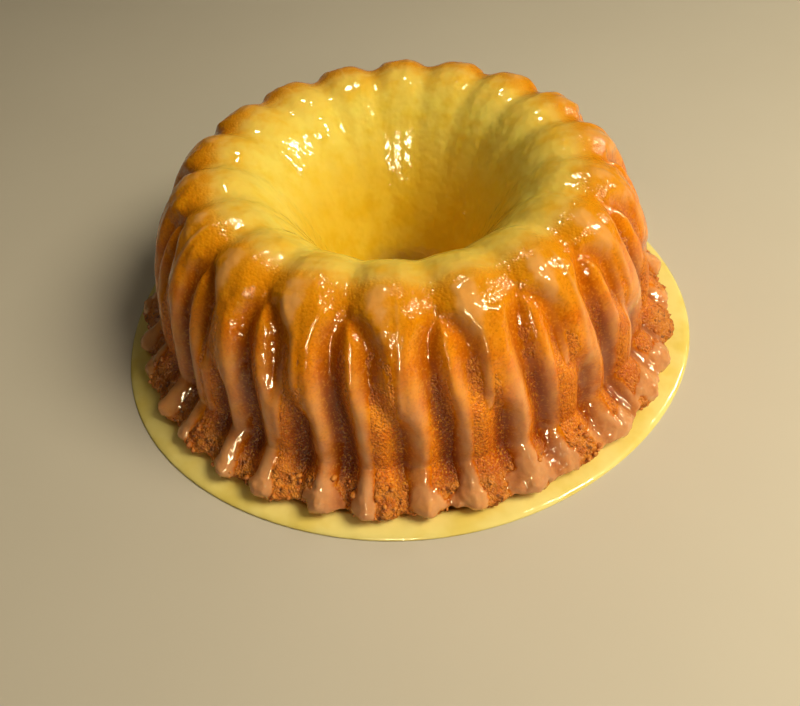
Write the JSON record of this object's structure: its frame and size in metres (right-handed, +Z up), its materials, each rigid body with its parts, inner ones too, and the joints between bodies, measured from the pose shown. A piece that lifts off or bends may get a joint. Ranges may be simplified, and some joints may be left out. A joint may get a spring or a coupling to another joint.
{
  "type": "bundt cake",
  "caption": "Uncut ring-shaped bundt cake with deep upright flutes, a scalloped foot, a funnel-shaped hole and pale glaze that has run down its sides.",
  "frame": {"origin": "centre of the flat underside, on the surface that the cake stands on", "axes": "+Z up along the axis of the ring, -Y towards the front"},
  "size_m": [0.2518, 0.2508, 0.082],
  "materials": {
    "crust": null,
    "glaze": "thin wet sugar glaze, creamy yellow in the funnel and translucent beige where it runs over the crust"
  },
  "bodies": {
    "root": {"cake": "crust"}
  },
  "joints": []
}
